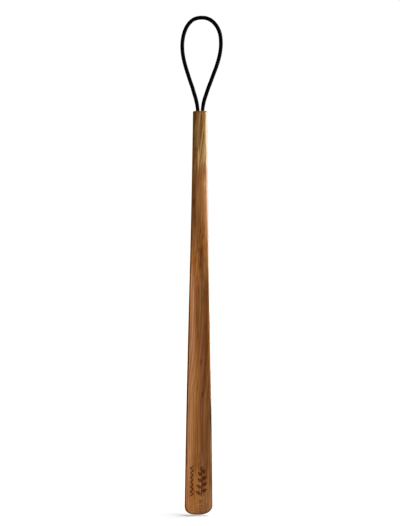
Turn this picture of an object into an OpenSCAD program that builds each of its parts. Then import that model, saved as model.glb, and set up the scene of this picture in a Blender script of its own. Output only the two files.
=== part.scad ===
// Long wooden shoehorn with a hanging loop of cord.
// It hangs by the loop: +Z is up, the heel channel faces -Y, and X runs across the blade.
// The origin is the hanging point, at the inside of the loop's top.

/* [Handle] */
// Diameter of the round handle at its end
handle_d = 20; // [18:0.5:22]
// Radius that softens the rim of the handle's end
end_round = 1.6; // [0.5:0.1:3]

/* [Blade] */
// Length of the wooden body, from the handle's end to the tip
body_len = 560; // [520:10:620]
// Greatest width of the blade, just above its tip
blade_w = 38.4; // [34:0.2:42]
// Height of the rounded tip, below the greatest width
tip_h = 13.2; // [10:0.2:18]
// How far the blade's wall bows back across its width, which makes the heel channel
bow = 8; // [6:0.5:9]
// Thickness of the blade's wall
wall = 4.6; // [3.6:0.2:5.4]
// Thickness that the wall thins to at the tip
tip_wall = 3; // [2.4:0.2:3.4]
// How far the tip curves forward
tip_sweep = 8; // [0:0.5:8]

/* [Cord] */
// Diameter of the cord
cord_d = 5; // [4:0.1:5.2]
// Distance between the middles of the two bores in the handle's end
bore_gap = 6.6; // [6.2:0.1:7.4]
// Depth of each bore
bore_depth = 25; // [15:1:40]
// Thickness of the adhesive between the cord and the wall of its bore
glue_wall = 0.2; // [0.1:0.05:0.3]
// Thickness of the adhesive below the end of the cord
glue_floor = 3; // [1:0.5:6]

/* [Hidden] */

WOOD = [0.56, 0.35, 0.19];
CORD = [0.05, 0.05, 0.055];
GLUE = [0.86, 0.78, 0.55];

// The loop's centreline from its left leg over the top to its right leg, as x and the height above the
// handle's end. The loop hangs a little to the right.
bow_route = [
    [-6.9, 20], [-8.5, 25], [-10.6, 32], [-13.4, 40], [-16.7, 50], [-19.9, 60], [-22.6, 70],
    [-24.5, 80], [-25.2, 90], [-24.5, 100], [-22.5, 109], [-19.2, 117], [-14.4, 123.6], [-8.4, 128],
    [-3, 129.6], [2.4, 130], [7.8, 129.4], [13, 127.4], [18.6, 123.2], [23.4, 116.8], [26.8, 109],
    [28.3, 100], [28.4, 90], [27.2, 80], [24.8, 70], [21.6, 60], [17.8, 50], [14.2, 40], [11.1, 32],
    [8.8, 25], [7.1, 20]
];
loop_h = 130; // height of the loop's centreline above the handle's end
tail_lean = 8.5; // angle by which each tail leans out towards the loop, once it is out of its bore
tail_top = 14.2; // height of the middle of a tail's rounded end, clear of the loop as it bends over
tail_bend = 1; // height where the straight stretch of a tail ends
cord_sides = 10;

face_z = cord_d / 2 - loop_h; // the handle's end face
bore_d = cord_d + 2 * glue_wall;
glue_recess = 1; // the adhesive stops this far inside the bore

tip_start = body_len - tip_h;
tip_power_left = 2.7; // the left corner of the tip is a little fuller than the right one
tip_power_right = 2.1; // 2 would make this half of the tip's outline an ellipse
taper_s = 0.05; // how much the taper's outline bends into a slight S
scoop_from = 130; // the heel channel starts this far below the handle's end
scoop_to = 270; // and has its full depth from here down
back_from = 100; // the back starts to thin here
back_to = 420; // and the wall is down to its own thickness here
crest = 0.891; // the channel's edges lie at this share of the blade's half width
crest_turn = 0.45; // 0 would round the wall's edge fully; more makes an arris along the channel's edges
thin_len = 90; // the wall thins over this length above the tip
sweep_len = 110; // the tip curves forward over this length
tip_bow = 0.6; // share of the bow that is left at the tip

// Places across the body where its rings have points, as shares of the half width: front, then back
half_front = [0.15, 0.3, 0.45, 0.6, 0.72, 0.82, crest, 0.93, 0.965, 0.99];
half_back = [0.16, 0.33, 0.5, 0.65, 0.8, 0.9, 0.97];
front_places = concat([-1], [for (i = [9:-1:0]) -half_front[i]], [0], half_front);
back_places = concat([1], [for (i = [6:-1:0]) half_back[i]], [0], -half_back);
ring_n = len(front_places) + len(back_places);
body_step = 14; // greatest distance between rings along the body

function mix(a, b, t) = a + (b - a) * t;
function ramp(u, from, to) = min(max((u - from) / (to - from), 0), 1);
function ease(u, from, to) = let (t = ramp(u, from, to)) t * t * (3 - 2 * t);

// Everything below is a function of u, the distance below the handle's end.
function half_w(u) = let (t = ramp(u, 0, tip_start))
    mix(handle_d / 2, blade_w / 2, t - taper_s * sin(360 * t));
function half_wall(u) = mix(wall, tip_wall, ease(u, body_len - thin_len, body_len)) / 2;
function bow_at(u) = bow * mix(1, tip_bow, ease(u, body_len - thin_len, body_len));
function sweep(u) = tip_sweep * pow(ramp(u, body_len - sweep_len, body_len), 2);
function tip_part(u) = ramp(u, tip_start, body_len);
function tip_power(x) = x < 0 ? tip_power_left : tip_power_right;

// Half the width on one side after the tip is rounded
function outline(u, x) = let (p = tip_power(x)) half_w(u) * pow(1 - pow(tip_part(u), p), 1 / p);

// How close to the outline a place is: 1 on it, 0 far inside
function nearness(u, x) = let (p = tip_power(x))
    min(1, pow(pow(abs(x) / half_w(u), p) + pow(tip_part(u), p), 1 / p));

// Middle of the blade's wall: bowed across the channel, level from its edges out
function mid_y(u, x) = let (inside = min(1, crest / max(nearness(u, x), 0.01)))
    bow_at(u) * (1 - pow(x / half_w(u) * inside, 2)) - bow * (1 - pow(crest, 2));

// Half the wall's thickness, which falls to 0 between the channel's edges and the outline
function half_t(u, x) = let (turn = mix(crest_turn, 1, ramp(nearness(u, x), crest, 1)))
    half_wall(u) * sqrt(max(0, 1 - pow(turn, 2)) / (1 - pow(crest_turn, 2)));

// The round handle passes into the blade, in front sooner than at the back.
function round_y(u, x) = handle_d / 2 * sqrt(max(0, 1 - pow(nearness(u, x), 2)));
function front_y(u, x) = -sweep(u)
    + mix(-round_y(u, x), mid_y(u, x) - half_t(u, x), ease(u, scoop_from, scoop_to));
function back_y(u, x) = -sweep(u)
    + mix(round_y(u, x), mid_y(u, x) + half_t(u, x), ease(u, back_from, back_to));

// The x of a place across a ring. Around the tip, the places stay beside the channel's edge.
function edge_at(u, p) = let (t = pow(tip_part(u), p))
    max(0.35, pow(max(0, pow(crest, p) - t) / (1 - t), 1 / p));
function x_at(u, place) = let (edge = edge_at(u, tip_power(place)), a = abs(place))
    sign(place) * outline(u, place)
    * (a < crest ? a / crest * edge : mix(edge, 1, (a - crest) / (1 - crest)));

// One ring: the front from left to right, then the back from right to left. shrink softens the handle's rim.
function ring(u, shrink = 1) = concat(
    [for (f = front_places) let (x = x_at(u, f)) [shrink * x, shrink * front_y(u, x), face_z - u]],
    [for (f = back_places) let (x = x_at(u, f)) [shrink * x, shrink * back_y(u, x), face_z - u]]
);

rim_rings = [for (a = [0:22.5:67.5])
    ring(end_round * (1 - cos(a)), 1 - 2 * end_round * (1 - sin(a)) / handle_d)
];
body_steps = ceil((tip_start - end_round) / body_step);
body_rings = [for (i = [0:body_steps])
    ring(mix(end_round, tip_start, i / body_steps))
];
tip_rings = [for (a = [12:11:78])
    ring(tip_start + tip_h * sin(a))
];
body_skin = concat(rim_rings, body_rings, tip_rings);

// Triangles that join rings of n points, with a flat first end and an apex or a flat last end
function between(rings, n) = [for (r = [0:rings - 2], i = [0:n - 1])
    let (p = r * n + i, q = r * n + (i + 1) % n)
    each [[p, q, p + n], [q, q + n, p + n]]
];
function flatten(rings) = [for (r = rings) each r];

module wooden_body() {
    rings = len(body_skin);
    last = (rings - 1) * ring_n;
    color(WOOD)
    difference() {
        polyhedron(
            concat(flatten(body_skin), [[0, mid_y(body_len, 0) - tip_sweep, face_z - body_len]]),
            concat(
                [[for (i = [ring_n - 1:-1:0]) i]],
                between(rings, ring_n),
                [for (i = [0:ring_n - 1]) [last + i, last + (i + 1) % ring_n, last + ring_n]]
            )
        );
        for (side = [-1, 1])
            translate([side * bore_gap / 2, 0, face_z - bore_depth])
                cylinder(d = bore_d, h = bore_depth + 1, $fn = 48);
    }
}

// One ring of the cord around a point p of its route, seen along the direction d
function cord_ring(p, d, r) = [for (i = [0:cord_sides - 1])
    let (a = 360 * i / cord_sides)
    [p.x + r * cos(a) * d.y, r * sin(a), p.y - r * cos(a) * d.x]
];
function unit(v) = v / norm(v);
function heading(i) = unit(
    bow_route[min(i + 1, len(bow_route) - 1)] - bow_route[max(i - 1, 0)]
);

// The free loop of the cord. Its ends are round, about the line that it bends about.
module cord_bow() {
    r = cord_d / 2;
    last = len(bow_route) - 1;
    start_cap = [for (a = [60, 30])
        cord_ring(bow_route[0] - r * sin(a) * heading(0), heading(0), r * cos(a))
    ];
    end_cap = [for (a = [30, 60])
        cord_ring(bow_route[last] + r * sin(a) * heading(last), heading(last), r * cos(a))
    ];
    run = [for (i = [0:last]) cord_ring(bow_route[i], heading(i), r)];
    skin = concat(start_cap, run, end_cap);
    top = len(skin) * cord_sides;
    color(CORD)
    translate([0, 0, face_z])
        polyhedron(
            flatten(skin),
            concat(
                [[for (i = [0:cord_sides - 1]) i]],
                [for (f = between(len(skin), cord_sides)) [f[0], f[2], f[1]]],
                [[for (i = [1:cord_sides]) top - i]]
            )
        );
}

// One end of the cord: straight out of its bore, then leaning out towards the loop. The leaning stretch
// is drawn a little, so that it starts inside the straight one.
module cord_tail(side) {
    bottom = glue_floor - bore_depth;
    lean_d = cord_d - 0.1;
    lean_h = tail_top / cos(tail_lean);
    color(CORD)
    translate([side * bore_gap / 2, 0, face_z])
    mirror([side < 0 ? 1 : 0, 0, 0]) {
        translate([0, 0, bottom])
            cylinder(d = cord_d, h = tail_bend - bottom, $fn = 48);
        rotate([0, tail_lean, 0]) {
            cylinder(d = lean_d, h = lean_h, $fn = 48);
            translate([0, 0, lean_h])
                sphere(d = lean_d, $fn = 48);
        }
    }
}

// The cured adhesive around and below one end of the cord
module glue(side) {
    color(GLUE)
    translate([side * bore_gap / 2, 0, face_z - bore_depth])
    difference() {
        cylinder(d = bore_d, h = bore_depth - glue_recess, $fn = 48);
        translate([0, 0, glue_floor])
            cylinder(d = cord_d, h = bore_depth, $fn = 48);
    }
}

wooden_body();
cord_bow();
cord_tail(-1);  // cord_tail_left
cord_tail(1);  // cord_tail_right
glue(-1);  // glue_left
glue(1);  // glue_right
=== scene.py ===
import math

import bpy
import numpy as np
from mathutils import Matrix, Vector


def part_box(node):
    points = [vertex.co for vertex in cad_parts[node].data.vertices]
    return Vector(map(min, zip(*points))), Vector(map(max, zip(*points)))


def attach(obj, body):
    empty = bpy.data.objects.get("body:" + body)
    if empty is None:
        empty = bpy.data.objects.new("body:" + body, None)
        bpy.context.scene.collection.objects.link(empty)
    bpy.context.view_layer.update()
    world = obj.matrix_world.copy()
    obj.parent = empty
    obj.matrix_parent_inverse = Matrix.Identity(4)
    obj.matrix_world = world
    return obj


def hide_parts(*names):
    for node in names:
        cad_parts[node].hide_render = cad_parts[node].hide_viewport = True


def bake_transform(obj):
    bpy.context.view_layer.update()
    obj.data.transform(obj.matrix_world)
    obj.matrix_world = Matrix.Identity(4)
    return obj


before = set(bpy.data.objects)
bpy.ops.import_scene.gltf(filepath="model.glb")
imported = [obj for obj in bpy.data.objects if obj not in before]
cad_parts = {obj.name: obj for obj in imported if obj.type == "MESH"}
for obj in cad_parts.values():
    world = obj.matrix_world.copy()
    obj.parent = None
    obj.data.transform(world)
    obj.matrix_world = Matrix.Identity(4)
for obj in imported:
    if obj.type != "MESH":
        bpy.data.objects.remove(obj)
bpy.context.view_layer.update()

# A long wooden shoehorn that hangs by a loop of braided cord. Metres, +Z up, the heel channel towards -Y.
scene = bpy.context.scene
MM = 0.001
MM_PER_M = 1000

WOOD_LOW, WOOD_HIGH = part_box("wooden_body")
FACE_Z = WOOD_HIGH.z
BODY_LEN = (WOOD_HIGH.z - WOOD_LOW.z) / MM

# ------------------------------------------------------------------------------------------- camera

camera_data = bpy.data.cameras.new("camera")
camera_data.sensor_width = 36
camera_data.lens = 147.8
camera = bpy.data.objects.new("camera", camera_data)
camera.location = (0.00065, -3.0, -0.3384)
camera.rotation_euler = (math.radians(90), math.radians(-0.228), 0)
scene.collection.objects.link(camera)
scene.camera = camera
scene.view_settings.view_transform = "Standard"


# ------------------------------------------------------------------------------------- node helpers

class Graph:
    """Short ways to add shader nodes. A value may be a number, a colour or another node's socket."""

    def __init__(self, name, tree=None):
        if tree is None:
            self.material = bpy.data.materials.new(name)
            self.material.use_nodes = True
            tree = self.material.node_tree
        tree.nodes.clear()
        self.tree = tree

    def add(self, kind, inputs=None, **settings):
        node = self.tree.nodes.new("ShaderNode" + kind)
        for key, value in settings.items():
            setattr(node, key, value)
        for key, value in (inputs or {}).items():
            if isinstance(value, bpy.types.NodeSocket):
                self.tree.links.new(value, node.inputs[key])
            else:
                node.inputs[key].default_value = value
        return node

    def math(self, operation, a, b=0.0, c=0.0, clamp=False):
        return self.add("Math", {0: a, 1: b, 2: c}, operation=operation, use_clamp=clamp).outputs[0]

    def span(self, value, low, high, to_low=0.0, to_high=1.0):
        """Maps low..high to to_low..to_high, smoothly and clamped."""
        return self.add("MapRange", {0: value, 1: low, 2: high, 3: to_low, 4: to_high},
                        interpolation_type="SMOOTHSTEP").outputs[0]

    def mix(self, share, a, b, blend="MIX"):
        return self.add("Mix", {0: share, 6: a, 7: b}, data_type="RGBA", blend_type=blend).outputs[2]

    def scaled(self, vector, size):
        return self.add("VectorMath", {0: vector, 1: size}, operation="MULTIPLY").outputs[0]

    def moved(self, vector, offset):
        return self.add("VectorMath", {0: vector, 1: offset}, operation="ADD").outputs[0]

    def vector(self, x, y=0.0, z=0.0):
        return self.add("CombineXYZ", {0: x, 1: y, 2: z}).outputs[0]

    def place_mm(self):
        """The place on the object, in mm."""
        return self.scaled(self.add("TexCoord").outputs["Object"], (MM_PER_M,) * 3)

    def noise(self, vector, scale, detail=2.0, roughness=0.5, output=0):
        """Noise. The scale is one number, or one for each axis."""
        if isinstance(scale, tuple):
            vector, scale = self.scaled(vector, scale), 1.0
        return self.add("TexNoise", {"Vector": vector, "Scale": scale, "Detail": detail,
                                     "Roughness": roughness}).outputs[output]

    def bump(self, height, strength, distance):
        return self.add("Bump", {"Height": height, "Strength": strength, "Distance": distance}).outputs[0]

    def attribute(self, name):
        return self.add("Attribute", attribute_name=name).outputs["Fac"]

    def finish(self, shader):
        self.add("OutputMaterial", {"Surface": shader})
        return self.material


def srgb(r, g, b):
    """A colour in sRGB bytes, as linear RGBA."""
    def linear(c):
        c /= 255
        return c / 12.92 if c <= 0.04045 else ((c + 0.055) / 1.055) ** 2.4
    return (linear(r), linear(g), linear(b), 1)


def new_object(name, points, faces, material):
    mesh = bpy.data.meshes.new(name)
    mesh.from_pydata([tuple(p) for p in points], [], [tuple(f) for f in faces])
    mesh.materials.append(material)
    mesh.shade_smooth()
    obj = bpy.data.objects.new(name, mesh)
    scene.collection.objects.link(obj)
    return obj


def store(obj, name, values):
    attribute = obj.data.attributes.new(name, "FLOAT", "POINT")
    attribute.data.foreach_set("value", np.asarray(values, np.float32))


def strips(rings, n):
    """The quads between rings of n points each."""
    r, i = np.meshgrid(np.arange(rings - 1), np.arange(n), indexing="ij")
    j = (i + 1) % n
    return np.stack([r * n + i, r * n + j, (r + 1) * n + j, (r + 1) * n + i], -1).reshape(-1, 4).tolist()


def closed_tube(rings, n):
    """The faces of a tube of rings of n points each, with both ends closed."""
    last = (rings - 1) * n
    return strips(rings, n) + [list(range(n))[::-1], list(range(last, last + n))]


# --------------------------------------------------------------------------------------------- cord

CORD_D = 5.0
CORD_SINK = 22.0  # how far each end of the cord goes into its bore
# The cord's centreline: x and the height above the handle's end, in mm
TAIL_ROUTE = [(3.3, -CORD_SINK), (3.3, -15), (3.3, -8), (3.3, -1), (3.6, 4), (4.3, 9), (5.35, 14.2)]
BOW_ROUTE = [
    (-6.9, 20), (-8.5, 25), (-10.6, 32), (-13.4, 40), (-16.7, 50), (-19.9, 60), (-22.6, 70), (-24.5, 80),
    (-25.2, 90), (-24.5, 100), (-22.5, 109), (-19.2, 117), (-14.4, 123.6), (-8.4, 128), (-3, 129.6),
    (2.4, 130), (7.8, 129.4), (13, 127.4), (18.6, 123.2), (23.4, 116.8), (26.8, 109), (28.3, 100),
    (28.4, 90), (27.2, 80), (24.8, 70), (21.6, 60), (17.8, 50), (14.2, 40), (11.1, 32), (8.8, 25), (7.1, 20),
]
CORD_ROUTE = [(-x, h) for x, h in TAIL_ROUTE] + BOW_ROUTE + TAIL_ROUTE[::-1]
ROUTE_SOFTEN = 2.2
SPLINE_STEP = 0.1
RING_STEP = 0.3
PATH_EVERY = 8       # rings between the points of the cord's path that make_cord returns
SIDES = 64

STRANDS = 8          # strands that wind each way round the cord
LAY = 17.6           # length of one turn of a strand
STRAND_RISE = 0.26   # height of a strand's crown over the core
STRAND_ROUND = 1.9   # 2 would round a strand's sides right down to the core
RELIEF = 0.14        # how much a strand rises as it passes over another
CORE_DEPTH = 0.22    # how far the core lies inside the cord's surface
SWELL = 0.2          # how much the cord's radius grows once it is free of its bores
SWELL_FROM, SWELL_TO = 1, 12  # heights above the handle's end between which it grows


def smooth_route(points, step, soften):
    """A natural cubic spline through points, softened a little and sampled at equal steps of its length.
    Returns the line's points and their distances along it."""
    p = np.array(points, float)
    d = np.linalg.norm(np.diff(p, axis=0), axis=1)
    n = len(p)
    lhs, rhs = np.eye(n), np.zeros((n, 2))
    for i in range(1, n - 1):
        lhs[i, i - 1:i + 2] = d[i - 1], 2 * (d[i - 1] + d[i]), d[i]
        rhs[i] = 6 * ((p[i + 1] - p[i]) / d[i] - (p[i] - p[i - 1]) / d[i - 1])
    bend = np.linalg.solve(lhs, rhs)
    knots = np.r_[0, d.cumsum()]
    s = np.linspace(0, knots[-1], int(knots[-1] / SPLINE_STEP))
    i = np.clip(np.searchsorted(knots, s) - 1, 0, n - 2)
    h, a, b = d[i][:, None], (knots[i + 1] - s)[:, None], (s - knots[i])[:, None]
    line = ((bend[i] * a ** 3 + bend[i + 1] * b ** 3) / (6 * h)
            + (p[i] / h - bend[i] * h / 6) * a + (p[i + 1] / h - bend[i + 1] * h / 6) * b)
    reach = int(3 * soften / SPLINE_STEP)
    kernel = np.exp(-0.5 * (np.arange(-reach, reach + 1) * SPLINE_STEP / soften) ** 2)
    kernel /= kernel.sum()
    padded = np.concatenate([2 * line[0] - line[reach:0:-1], line, 2 * line[-1] - line[-2:-reach - 2:-1]])
    line = np.stack([np.convolve(padded[:, k], kernel, "valid") for k in (0, 1)], 1)
    run = np.r_[0, np.linalg.norm(np.diff(line, axis=0), axis=1).cumsum()]
    even = np.linspace(0, run[-1], int(round(run[-1] / step)) + 1)
    return np.stack([np.interp(even, run, line[:, k]) for k in (0, 1)], 1), even


def braid(angle, s):
    """Height of the braid over its core, and which strand shows: its direction and the place across it."""
    turn = angle / (2 * np.pi) * STRANDS
    best, family, across = np.full(angle.shape, -9.0), np.zeros(angle.shape), np.zeros(angle.shape)
    for way in (1, -1):
        own = turn - way * s * STRANDS / LAY
        other = turn + way * s * STRANDS / LAY
        index = np.round(own)
        d = own - index
        crown = STRAND_RISE * np.sqrt(np.maximum(0, 1 - (STRAND_ROUND * d) ** 2))
        height = crown + way * RELIEF / 2 * np.cos(np.pi * (index + other))
        shows = height > best
        best = np.where(shows, height, best)
        family = np.where(shows, way, family)
        across = np.where(shows, d, across)
    return best, family, across


def cord_material():
    g = Graph("braided_cord")
    across, family = g.attribute("across"), g.attribute("family")
    along, hollow_shade = g.attribute("along"), g.attribute("hollow_shade")
    yarn = g.vector(g.math("MULTIPLY", across, 9.0), g.math("MULTIPLY", along, 0.35),
                    g.math("MULTIPLY", family, 3.0))
    fibre = g.noise(yarn, 3.0, 3.0, 0.6)
    tone = g.noise(g.vector(along), 0.15, 2.0)
    colour = g.mix(g.span(fibre, 0.3, 0.75), (0.0006, 0.0006, 0.0007, 1), (0.0022, 0.0022, 0.0025, 1))
    colour = g.mix(g.span(tone, 0.4, 0.7, 0, 0.5), colour, (0.0014, 0.0014, 0.0016, 1))
    # painted shade in the hollows between the strands
    colour = g.mix(g.span(hollow_shade, 0.05, 0.45, 0, 0.85), colour, (0.0004, 0.0004, 0.0004, 1))
    return g.finish(g.add("BsdfPrincipled", {
        "Base Color": colour,
        "Roughness": g.span(fibre, 0.2, 0.8, 0.5, 0.68),
        "Normal": g.bump(fibre, 0.5, 0.0001),
        "Specular IOR Level": 0.04,
    }).outputs[0])


def make_cord():
    """The braided cord, the points that it follows, and its length."""
    line, s = smooth_route(CORD_ROUTE, RING_STEP, ROUTE_SOFTEN)
    heading = np.gradient(line, axis=0)
    heading /= np.linalg.norm(heading, axis=1)[:, None]
    angle, along = np.meshgrid(np.arange(SIDES) * 2 * np.pi / SIDES, s)
    height, family, across = braid(angle, along)
    # the cord is squeezed a little where it enters its bores
    radius = CORD_D / 2 - CORE_DEPTH + height + np.interp(line[:, 1:2], [SWELL_FROM, SWELL_TO], [0, SWELL])
    side = radius * np.cos(angle)
    x = line[:, 0:1] + side * heading[:, 1:2]
    z = line[:, 1:2] - side * heading[:, 0:1]
    y = radius * np.sin(angle)
    points = np.stack([x, y, z], -1).reshape(-1, 3) * MM
    points[:, 2] += FACE_Z
    cord = new_object("braided_cord", points, closed_tube(len(s), SIDES), cord_material())
    store(cord, "across", across.ravel())
    store(cord, "family", family.ravel())
    store(cord, "along", along.ravel())
    # how far each place lies below the strands' crowns, which the material darkens as painted shade
    store(cord, "hollow_shade", (STRAND_RISE + RELIEF / 2 - height).ravel())
    path = [(x * MM, 0, FACE_Z + h * MM) for x, h in line[::PATH_EVERY]]
    return cord, path, s[-1] * MM


cord, cord_path, cord_length = make_cord()
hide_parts("cord_bow", "cord_tail_left", "cord_tail_right")
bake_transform(cord)

# --------------------------------------------------------------------------------------- wood shape

HANDLE_D = 20.0
END_ROUND = 1.6
BLADE_W = WOOD_HIGH.x / MM * 2
TIP_H, TIP_POWER_LEFT, TIP_POWER_RIGHT = 13.2, 2.7, 2.1
BOW, WALL, TIP_WALL, TIP_SWEEP = 8.0, 4.6, 3.0, 8.0
TAPER_S = 0.05
SCOOP_FROM, SCOOP_TO = 130.0, 270.0  # where the heel channel deepens
BACK_FROM, BACK_TO = 100.0, 420.0    # where the back thins
CREST, CREST_TURN = 0.891, 0.45      # where the channel's edges are, and how sharp
THIN_LEN, SWEEP_LEN, TIP_BOW = 90.0, 110.0, 0.6
TIP_START = BODY_LEN - TIP_H
LEAST_EDGE = 0.35                    # around the tip, the channel's edges stay this share out
BORE_GAP, BORE_R, BORE_DEPTH = 6.6, 2.72, 25.0
BORE_FLARE = 0.25                    # how much each bore widens at the handle's end
BORE_SIDES = 48


def mix(a, b, t):
    return a + (b - a) * t


def ramp(u, start, end):
    return np.clip((u - start) / (end - start), 0, 1)


def ease(u, start, end):
    t = ramp(u, start, end)
    return t * t * (3 - 2 * t)


# Everything below is a function of u, the distance below the handle's end in mm, as in the CAD model.
def half_width(u):
    t = ramp(u, 0, TIP_START)
    return mix(HANDLE_D / 2, BLADE_W / 2, t - TAPER_S * np.sin(2 * np.pi * t))


def tip_power(x):
    return np.where(x < 0, TIP_POWER_LEFT, TIP_POWER_RIGHT)


def tip_part(u):
    return ramp(u, TIP_START, BODY_LEN)


def nearness(u, x):
    """How close to the outline a place is: 1 on it, 0 far inside."""
    p = tip_power(x)
    return np.minimum(1, ((np.abs(x) / half_width(u)) ** p + tip_part(u) ** p) ** (1 / p))


def wall_middle(u, x):
    inside = np.minimum(1, CREST / np.maximum(nearness(u, x), 0.01))
    bow = BOW * mix(1, TIP_BOW, ease(u, BODY_LEN - THIN_LEN, BODY_LEN))
    return bow * (1 - (x / half_width(u) * inside) ** 2) - BOW * (1 - CREST ** 2)


def wall_half(u, x):
    turn = mix(CREST_TURN, 1, ramp(nearness(u, x), CREST, 1))
    half = mix(WALL, TIP_WALL, ease(u, BODY_LEN - THIN_LEN, BODY_LEN)) / 2
    return half * np.sqrt(np.maximum(0, 1 - turn ** 2) / (1 - CREST_TURN ** 2))


def round_y(u, x):
    return HANDLE_D / 2 * np.sqrt(np.maximum(0, 1 - nearness(u, x) ** 2))


def sweep(u):
    return TIP_SWEEP * ramp(u, BODY_LEN - SWEEP_LEN, BODY_LEN) ** 2


def front_y(u, x):
    return mix(-round_y(u, x), wall_middle(u, x) - wall_half(u, x), ease(u, SCOOP_FROM, SCOOP_TO)) - sweep(u)


def back_y(u, x):
    return mix(round_y(u, x), wall_middle(u, x) + wall_half(u, x), ease(u, BACK_FROM, BACK_TO)) - sweep(u)


def place_x(u, place):
    """The x of a place across the body. Around the tip, the places stay beside the channel's edge."""
    p = tip_power(place)
    t = np.minimum(tip_part(u) ** p, 1 - 1e-9)
    edge = np.maximum(LEAST_EDGE, np.maximum(0, (CREST ** p - t) / (1 - t)) ** (1 / p))
    a = np.abs(place)
    share = np.where(a < CREST, a / CREST * edge, mix(edge, 1, (a - CREST) / (1 - CREST)))
    return np.sign(place) * share * half_width(u) * (1 - t) ** (1 / p)


# ---------------------------------------------------------------------------------- burned ornament

MARK_TOP, MARK_END = 493.0, 535.0  # where the ornament starts and ends along the body
BURN_DEPTH = 0.3
BURN_EDGE = 0.4                    # width over which a burned shape ends
STEM_X, STEM_SWAY = 4.0, 0.8       # the stem's middle, and how far it sways to each side
STEM_HALF = 0.65                   # half the stem's width
LEAF_PAIRS, LEAF_GAP = 4, 8.6      # the pairs follow each other at this distance up the stem
LEAF_SHIFT = 3.4                   # how much higher the leaves on the right grow
LEAF_W, LEAF_LEN, LEAF_ANGLE = 4.0, 8.6, 58
LEAF_FROM = 0.6                    # how far from the stem's middle a leaf starts
VEIN_HALF = 0.32                   # half the width of the unburned vein in a leaf
STROKES, STROKE_GAP, STROKE_W = 13, 3.2, 1.6
STROKE_LEFT, STROKE_RIGHT, STROKE_LEAN = -11.1, -8.1, 0.8


def burned(inside):
    """How burned a place is that lies so far inside a shape's outline."""
    return np.clip(inside / BURN_EDGE + 0.5, 0, 1)


def stem_x(u):
    return STEM_X + STEM_SWAY * np.sin(np.pi * (1.7 * (u - MARK_TOP) / (MARK_END - MARK_TOP) - 0.35))


def leaf(u, x, base_u, angle, length, width):
    """A burned leaf that grows from the stem at base_u. angle is measured from straight up the body."""
    ax, au = math.sin(angle), -math.cos(angle)
    dx, du = x - stem_x(base_u) - LEAF_FROM * ax, u - base_u
    along, off = (dx * ax + du * au) / length, np.abs(dx * au - du * ax)
    inside = np.clip(along, 0, 1)
    half = width / 2 * np.sin(np.pi * inside ** 0.8) ** 0.8
    burn = burned(half - off) * ((along > 0) & (along < 1))
    return burn * np.where(inside < 0.7, burned(off - VEIN_HALF), 1)


def stroke(u, x, start, end):
    """A burned stroke between two places, each an x and a distance along the body."""
    dx, du = end[0] - start[0], end[1] - start[1]
    t = np.clip(((x - start[0]) * dx + (u - start[1]) * du) / (dx * dx + du * du), 0, 1)
    return burned(STROKE_W / 2 - np.hypot(x - start[0] - t * dx, u - start[1] - t * du))


def ornament(u, x):
    """How burned the wood is at (u, x), from 0 to 1: a leafy sprig with a row of small strokes beside it."""
    marks = [burned(STEM_HALF - np.abs(x - stem_x(u))) * ((u > MARK_TOP + 6) & (u < MARK_END))]
    for k in range(LEAF_PAIRS):
        for side in (-1, 1):
            base = MARK_END - 2.6 - LEAF_GAP * k - (LEAF_SHIFT if side > 0 else 0)
            angle = side * math.radians(LEAF_ANGLE - 4 * k)
            marks.append(leaf(u, x, base, angle, LEAF_LEN - 0.5 * k, LEAF_W))
    # the top leaf
    marks.append(leaf(u, x, MARK_TOP + 7.5, 0.0, 7.5, 3.8))
    for k in range(STROKES):
        v = MARK_TOP + STROKE_W + STROKE_GAP * k
        lean = STROKE_LEAN if k % 2 else -STROKE_LEAN
        marks.append(stroke(u, x, (STROKE_LEFT, v - lean), (STROKE_RIGHT, v + lean)))
    return np.maximum.reduce(np.broadcast_arrays(*marks))


# --------------------------------------------------------------------------------------------- wood

PITH_X, PITH_Y = 100.0, 28.0  # the middle of the growth rings, far to the right of the blade and behind it
GROWTH = 3.3                  # width of a growth ring


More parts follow.
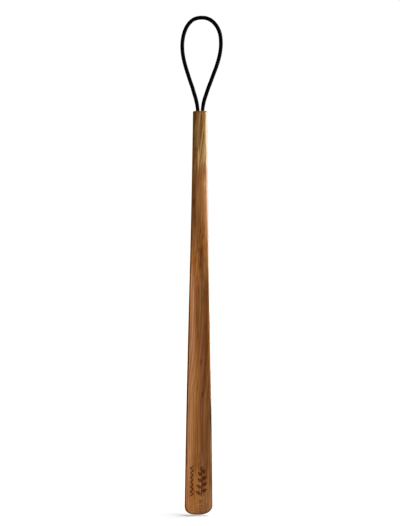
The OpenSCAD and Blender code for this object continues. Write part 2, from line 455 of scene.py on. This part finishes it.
def wood_material():
    g = Graph("oiled_wood")
    mm = g.place_mm()
    height = g.add("SeparateXYZ", {0: mm}).outputs[2]
    burn, flecks_and_highlight, shade, sapwood = (g.attribute(name) for name in ("burn", "flecks_and_highlight", "shade", "sapwood"))
    # the grain leans in the handle and over one stretch of the blade, and wanders a little everywhere
    lean = g.math("ADD", g.span(height, -560, -390, 11, 0), g.span(height, -250, -90, 13, 0))
    wander = g.noise(mm, (0.02, 0.02, 0.008), 2.0, 0.5, output=1)
    bent = g.add("VectorMath", {0: wander, 1: (4.0, 4.0, 0.0), 2: mm}, operation="MULTIPLY_ADD").outputs[0]
    bent = g.moved(bent, g.vector(lean))
    across = g.add("SeparateXYZ", {0: bent}).outputs
    x, y = g.math("ADD", across[0], -PITH_X), g.math("ADD", across[1], -PITH_Y)
    radius = g.math("SQRT", g.math("ADD", g.math("MULTIPLY", x, x), g.math("MULTIPLY", y, y)))
    rings = g.math("DIVIDE", radius, GROWTH)
    ring = g.math("FRACT", rings)
    late = g.math("MULTIPLY", g.span(ring, 0.3, 0.9), g.span(ring, 0.94, 1.0, 1, 0))
    each = g.noise(g.vector(g.math("FLOOR", rings)), 1.7, 0.0)
    streak = g.noise(bent, (0.3, 0.3, 0.007), 4.0, 0.55)
    line = g.noise(bent, (0.9, 0.9, 0.014), 4.0, 0.6)
    fibre = g.noise(mm, (3.2, 3.2, 0.06), 3.0, 0.6)
    pore = g.noise(mm, (5.5, 5.5, 0.25), 1.0, 0.4)
    cloud = g.noise(mm, (0.06, 0.06, 0.012), 3.0)

    # heartwood
    base = g.mix(g.span(streak, 0.3, 0.7), srgb(156, 88, 30), srgb(205, 138, 69))
    base = g.mix(g.span(cloud, 0.45, 0.7, 0, 0.35), base, srgb(178, 98, 46))
    base = g.mix(g.span(line, 0.52, 0.64, 0, 0.45), base, srgb(118, 56, 8))
    base = g.mix(g.span(line, 0.48, 0.34, 0, 0.3), base, srgb(214, 148, 78))
    # pale sapwood in the handle's end, with a ragged edge
    ragged = g.math("MULTIPLY_ADD", g.noise(bent, (0.5, 0.5, 0.02), 3.0), 36.0, -18.0)
    sap = g.span(g.math("ADD", sapwood, ragged), -7, 7)
    pale = g.mix(g.span(streak, 0.38, 0.62), srgb(156, 106, 36), srgb(220, 176, 104))
    pale = g.mix(g.span(line, 0.48, 0.64, 0, 0.6), pale, srgb(124, 76, 18))
    base = g.mix(g.math("MULTIPLY", sap, 0.85), base, pale)
    # late wood, fibres and pores
    base = g.mix(g.math("MULTIPLY", late, g.span(each, 0.3, 0.7, 0.08, 0.5)), base, srgb(112, 56, 10))
    base = g.mix(g.span(fibre, 0.4, 0.75, 0, 0.22), base, srgb(104, 52, 10))
    base = g.mix(g.span(pore, 0.66, 0.74, 0, 0.4), base, srgb(84, 42, 16))
    # flecks with one painted highlight, broad painted light and shade with some of the wood's own tone, and
    # burned marks
    base = g.mix(g.math("MULTIPLY", flecks_and_highlight, 0.85, clamp=True), base, srgb(82, 34, 6))
    base = g.mix(g.math("MULTIPLY", flecks_and_highlight, -0.8, clamp=True), base, srgb(242, 198, 128))
    base = g.add("VectorMath", {0: base, 3: shade}, operation="SCALE").outputs[0]
    char = g.mix(g.span(fibre, 0.3, 0.7), srgb(62, 10, 2), srgb(96, 24, 8))
    base = g.mix(g.math("MULTIPLY", burn, 0.95), base, char)

    relief = g.math("SUBTRACT", g.math("MULTIPLY", fibre, -0.5), g.span(pore, 0.64, 0.74, 0, 0.8))
    return g.finish(g.add("BsdfPrincipled", {
        "Base Color": base,
        "Roughness": g.math("ADD", g.span(fibre, 0.3, 0.7, 0.4, 0.48), g.math("MULTIPLY", burn, 0.25)),
        "Normal": g.bump(relief, 0.2, 0.0001),
        # the painted light and shade also scales the reflection
        "Specular IOR Level": g.math("MULTIPLY", shade, g.math("MULTIPLY_ADD", burn, -0.15, 0.21)),
    }).outputs[0])


# Flecks and streaks on the front of the body, in mm: x and distance below the handle's end, sizes across and
# along, how far it leans sideways for each mm down, and strength, dark above 0 and light below 0. The light
# spot at x 6.6, 101 below the end is a painted highlight that widens the handle's highlight.
SPOTS = [
    (2.2, 10, 1.2, 11, -0.03, 0.6), (1.2, 32, 1.0, 13, -0.04, 0.7), (-6.5, 44, 2.2, 10, 0.05, 0.3),
    (5.6, 36, 0.9, 13, 0, 0.7), (-2.1, 66, 0.75, 12, 0, -2.6), (-5.6, 53, 2.4, 2, 0, 0.5),
    (6.4, 75, 1.4, 2.2, 0, 0.6), (6.5, 84, 1.4, 6, 0, 0.5), (6.6, 101, 2.0, 6, 0, -0.4),
    (1, 89, 2, 8, 0, 0.2), (-3, 123, 2, 15, 0, -0.25), (-8.2, 126, 1.5, 4, 0, 0.8),
    (-8.4, 108, 1.4, 5, 0, 0.4), (-2, 157, 0.9, 7, 0, 0.35), (2.2, 196, 1.6, 14, 0, 0.8),
    (2.4, 228, 1.6, 18, 0, 0.3),
    (5.7, 256, 0.9, 22, -0.13, 0.4), (0.6, 295, 0.7, 18, -0.12, 0.35), (7.7, 375, 0.9, 20, -0.15, 0.3),
    (7.4, 257, 2.2, 25, -0.05, 0.3), (-1.5, 311, 0.8, 5, -0.08, 0.7),
    (8.4, 300, 2.0, 3, 0, 0.45), (5.6, 324, 0.8, 30, -0.117, 0.4), (2.8, 348, 1.1, 3.5, -0.12, 0.8),
    (-2.1, 384, 0.8, 5, -0.05, 0.6), (-3.3, 408, 0.7, 16, -0.06, 0.3), (4.7, 393, 1.2, 3.5, -0.15, 0.8),
    (4.3, 399, 0.8, 14, -0.21, 0.3), (-3.4, 440, 0.6, 35, 0, 0.25), (3.4, 541, 2.0, 1.3, 0, 0.7),
]

# Broad places where the wood is lighter, above 0, or darker, below 0, in mm: x and distance below the
# handle's end, sizes across and along, and by how much. Most are painted light and shade: lighter where the
# lamps fall on the right edges, the channel's left wall and the tip, darker along the handle's end and its
# upper left side. A few are the wood's own tone and knots.
SHADES = [
    (-9.5, 10, 3.5, 32, -0.5), (0, 0, 30, 1.8, -0.45), (-9.5, 310, 4.5, 110, 0.18),
    (0, 552, 30, 30, 0.1), (14, 290, 3.5, 90, 0.35), (10, 215, 3, 55, 0.35),
    (15, 470, 5, 110, 0.2), (17, 540, 7, 35, 0.3), (-15, 545, 7, 30, 0.12),
    (0, 140, 30, 35, -0.12), (-16, 470, 4, 90, 0.18), (-1, 28, 4, 24, 0.18),
    (-6, 218, 6, 32, 0.22), (4, 288, 3, 18, -0.15), (2, 120, 6, 20, 0.06),
    (2.5, 541.5, 1.4, 1.1, -0.25),
]


# Points of a ring, from the middle to the channel's edge and around the back, and the shares of the way
# from the channel's edge to the outline where the rest are
FRONT_POINTS, BACK_POINTS = 56, 48
EDGE_POINTS = [0.06, 0.14, 0.24, 0.36, 0.49, 0.62, 0.74, 0.84, 0.91, 0.96, 0.99]
RIM_RINGS, TIP_RINGS = 8, 32
# Stretches of the body between the rim and the tip, and how many rings each has
STRETCHES = [
    (END_ROUND, BACK_FROM, 60), (BACK_FROM, MARK_TOP - 2, 130), (MARK_TOP - 2, MARK_END + 2, 139),
    (MARK_END + 2, TIP_START, 8),
]
SHARP_ANGLE = 70  # edges with a wider angle than this stay sharp


def body_skin():
    """The points and faces of the body, without its bores."""
    inner = np.linspace(0, CREST, FRONT_POINTS)
    half = np.concatenate([inner, CREST + (1 - CREST) * np.array(EDGE_POINTS)])
    front = np.concatenate([[-1], -half[:0:-1], half])
    back = np.cos(np.pi * np.arange(BACK_POINTS) / BACK_POINTS)
    rim = np.radians(np.linspace(0, 90, RIM_RINGS, endpoint=False))
    tip = np.radians(np.linspace(0, 90, TIP_RINGS, endpoint=False))
    u = np.concatenate([
        END_ROUND * (1 - np.cos(rim)),
        *(np.linspace(start, end, count, endpoint=False) for start, end, count in STRETCHES),
        TIP_START + TIP_H * np.sin(tip),
    ])[:, None]
    shrink = np.ones_like(u)
    shrink[:RIM_RINGS, 0] = 1 - 2 * END_ROUND * (1 - np.sin(rim)) / HANDLE_D
    front_x, back_x = place_x(u, front), place_x(u, back)
    x = np.concatenate([front_x, back_x], 1)
    y = np.concatenate([front_y(u, front_x) + BURN_DEPTH * ornament(u, front_x), back_y(u, back_x)], 1)
    points = np.stack([shrink * x, shrink * y, FACE_Z / MM - u + 0 * x], -1).reshape(-1, 3) * MM
    points = np.vstack([points, [0, front_y(BODY_LEN, 0.0) * MM, WOOD_LOW.z]])
    rings, n = x.shape
    last = (rings - 1) * n
    faces = strips(rings, n) + [[last + i, last + (i + 1) % n, rings * n] for i in range(n)]
    return points, [f[::-1] for f in faces] + [list(range(n))]


def bore(wood):
    """Cuts the two bores for the cord, slightly flared at the handle's end."""
    turns = np.arange(BORE_SIDES) * 2 * np.pi / BORE_SIDES
    mouth_r = BORE_R + BORE_FLARE
    profile = [(BORE_R, -BORE_DEPTH), (BORE_R, -BORE_FLARE), (mouth_r, 0), (mouth_r, 1.5)]
    for way in (-1, 1):
        rings = [(way * BORE_GAP / 2 + r * np.cos(turns), r * np.sin(turns), h + 0 * turns)
                 for r, h in profile]
        points = np.concatenate([np.stack(ring, -1) for ring in rings]) * MM
        points[:, 2] += FACE_Z
        faces = closed_tube(len(profile), BORE_SIDES)
        cutter = new_object("cutter", points, faces, wood.data.materials[0])
        tool = wood.modifiers.new("bore", "BOOLEAN")
        tool.object, tool.operation, tool.solver = cutter, "DIFFERENCE", "EXACT"
        bpy.context.view_layer.update()
        solid = bpy.data.meshes.new_from_object(wood.evaluated_get(bpy.context.evaluated_depsgraph_get()))
        wood.modifiers.clear()
        wood.data = solid
        bpy.data.objects.remove(cutter)


# How much darker the wood is outside the channel's edges, on the back, along the tip's rim, and on the left
# side of the handle. All four are painted shade: where the edges, the tip's rim and the handle's left side
# turn away from the light, and on the back against the strong lamps behind it.
EDGE_SHADE, BACK_SHADE, TIP_SHADE, SIDE_SHADE = 0.94, 0.36, 0.3, 0.6
EDGE_FROM_LEFT, EDGE_FROM_RIGHT = 205, 405  # the edge's shade starts this far below the handle's end
SAP_LEFT, SAP_RIGHT = 53, 77                # and the sapwood ends this far below it


def spread(u, x, size_u, size_x):
    """1 at a place, falling to 0 away from it. u and x are measured from that place."""
    return np.exp(-(x / size_x) ** 2 - (u / size_u) ** 2)


def paint(wood):
    """Stores how burned and flecked the wood is at each point, its painted light and shade with some of its
    own tone, and how far inside the sapwood.
    """
    co = np.array([v.co for v in wood.data.vertices]) / MM
    u, x = FACE_Z / MM - co[:, 2], co[:, 0]
    on_front = co[:, 1] < (front_y(u, x) + back_y(u, x)) / 2
    store(wood, "burn", ornament(u, x) * on_front)

    flecks_and_highlight = sum(strength * spread(u - su, x - sx - lean * (u - su), along, across)
                for sx, su, across, along, lean, strength in SPOTS)
    # arched grain where the sweep of the tip cuts through the growth rings
    arch = np.cos(2 * np.pi * np.hypot((x - 2.5) / 1.5, u - 554) / 3.4)
    flecks_and_highlight += 0.3 * arch * spread(u - 547, x - 2, 6, 8)
    store(wood, "flecks_and_highlight", flecks_and_highlight * on_front)

    # painted light and shade from SHADES, with some of the wood's own tone
    shade = 1 + sum(strength * spread(u - su, x - sx, along, across)
                    for sx, su, across, along, strength in SHADES)
    start = np.where(x < 0, EDGE_FROM_LEFT, EDGE_FROM_RIGHT)
    # low on the blade, the edge's shade is narrower
    inner_edge = mix(CREST, 0.935, ease(u, 420, 470))
    rim = ramp(nearness(u, x), inner_edge - 0.005, inner_edge + 0.02) * ramp(u, start - 12, start + 12)
    backward = np.array([v.normal.y for v in wood.data.vertices])
    # painted shade on the channel's outer edges, the back, the tip's rim and the handle's left side
    shade *= 1 - EDGE_SHADE * rim * ramp(backward, 0.3, -0.2)
    shade *= 1 - BACK_SHADE * ramp(backward, -0.3, 0.5)
    shade *= 1 - TIP_SHADE * ramp(nearness(u, x), 0.8, 0.93) * ramp(u, 548, 553)
    shade *= 1 - SIDE_SHADE * ramp(-x / half_width(u), 0.84, 0.97) * ramp(u, 217, 193)
    store(wood, "shade", shade)
    store(wood, "sapwood", mix(SAP_LEFT, SAP_RIGHT, ease(x, -2.5, 0.5)) - u)


def make_wood():
    wood = new_object("turned_wood", *body_skin(), wood_material())
    bore(wood)
    wood.data.shade_smooth()
    wood.data.set_sharp_from_angle(angle=math.radians(SHARP_ANGLE))
    paint(wood)
    return wood


wood = make_wood()
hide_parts("wooden_body")
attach(wood, "shoehorn")

# ----------------------------------------------------------------------------------------- adhesive


def glue_material():
    g = Graph("cured_adhesive")
    lump = g.noise(g.place_mm(), 0.9, 3.0, 0.55)
    return g.finish(g.add("BsdfPrincipled", {
        "Base Color": g.mix(g.span(lump, 0.35, 0.7), srgb(186, 150, 86), srgb(222, 196, 140)),
        "Roughness": g.span(lump, 0.3, 0.7, 0.25, 0.4),
        "Normal": g.bump(lump, 0.5, 0.0002),
    }).outputs[0])


glue = glue_material()
glue_nodes = [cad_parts[name] for name in ("glue_left", "glue_right")]
for node in glue_nodes:
    node.data.materials.clear()
    node.data.materials.append(glue)

# ------------------------------------------------------------------------------------- floor, light

FLOOR_Z = WOOD_LOW.z - 1.5 * MM
FLOOR_HALF = 6


def floor_material():
    """A pale floor that throws little light back up at the shoehorn."""
    g = Graph("studio_floor")
    speck = g.noise(g.place_mm(), 0.02, 3.0)
    colour = g.mix(speck, (0.86, 0.86, 0.86, 1), (0.9, 0.9, 0.9, 1))
    bright = g.add("BsdfDiffuse", {"Color": colour}).outputs[0]
    dim = g.add("BsdfDiffuse", {"Color": (0.1, 0.1, 0.1, 1)}).outputs[0]
    seen = g.add("LightPath").outputs["Is Camera Ray"]
    return g.finish(g.add("MixShader", {0: seen, 1: dim, 2: bright}).outputs[0])


corners = [(sx * FLOOR_HALF, sy * FLOOR_HALF, FLOOR_Z) for sx, sy in ((-1, -1), (1, -1), (1, 1), (-1, 1))]
floor = new_object("floor", corners, [(0, 1, 2, 3)], floor_material())

world = bpy.data.worlds.new("studio")
world.use_nodes = True
scene.world = world
g = Graph("studio", world.node_tree)
ambient = g.add("Background", {"Color": (1, 1, 1, 1), "Strength": 0.01}).outputs[0]
backdrop = g.add("Background", {"Color": (1, 1, 1, 1), "Strength": 1.02}).outputs[0]
seen = g.add("LightPath").outputs["Is Camera Ray"]
g.add("OutputWorld", {"Surface": g.add("MixShader", {0: seen, 1: ambient, 2: backdrop}).outputs[0]})


def new_light(name, kind, power, colour):
    data = bpy.data.lights.new(name, kind)
    data.energy = power
    data.color = colour
    light = bpy.data.objects.new(name, data)
    scene.collection.objects.link(light)
    return light


def softbox(name, place, target, size, power, colour=(1, 1, 1)):
    """A rectangular light at a place, turned to its target."""
    light = new_light(name, "AREA", power, colour)
    light.data.shape = "RECTANGLE"
    light.data.size, light.data.size_y = size
    from_target = np.array(place, float) - np.array(target, float)
    light.location = place
    light.rotation_euler = Vector(from_target).to_track_quat("Z", "Y").to_euler()
    return light


def overhead(name, angle, tilt, power, colour=(1, 1, 1)):
    """Wide light from above. tilt moves it towards the right of the picture."""
    light = new_light(name, "SUN", power, colour)
    light.data.angle = math.radians(angle)
    light.rotation_euler = (0, math.radians(tilt), 0)
    return light


def around(azimuth, distance, z):
    """A place round the body. Azimuth 0 is the camera's side and 90 the right of its picture."""
    turn = math.radians(azimuth)
    return (distance * math.sin(turn), -distance * math.cos(turn), z)


lit = [
    softbox("key_top", around(125, 1.3, 0.15), (0, 0, 0.15), (0.5, 0.35), 24, (0.97, 1, 0.93)),
    softbox("key_middle", around(118, 1.3, -0.2), (0, 0, -0.2), (0.6, 0.35), 11.5, (0.97, 1, 0.9)),
    softbox("key_low", around(155, 1.3, -0.52), (0, 0, -0.52), (0.5, 0.35), 21),
    softbox("side_middle", around(65, 1.3, -0.2), (0, 0, -0.2), (0.5, 0.35), 2.8),
    softbox("side_low", around(63, 1.3, -0.55), (0, 0, -0.55), (0.5, 0.35), 5.4),
    softbox("fill_left", around(-29, 2.4, -0.1), (0, 0, -0.35), (1.3, 1.2), 14.5),
    softbox("fill_back", around(-168, 2.4, -0.1), (0, 0, -0.35), (1.3, 1.2), 7),
    softbox("fill_right", around(45, 2.4, -0.1), (0, 0, -0.35), (1.2, 1.2), 3.5, (1, 0.97, 0.8)),
]
# these light the shoehorn only, so that the floor keeps one soft shadow
subjects = bpy.data.collections.new("subjects")
for subject in (wood, cord, *glue_nodes):
    subjects.objects.link(subject)
for light in lit:
    light.light_linking.receiver_collection = subjects


overhead("sky", 78, 12, 1.44)
# this one lights the floor only
stage = bpy.data.collections.new("stage")
stage.objects.link(floor)
overhead("floor_light", 24, 11, 2.68, (0.97, 0.99, 1)).light_linking.receiver_collection = stage
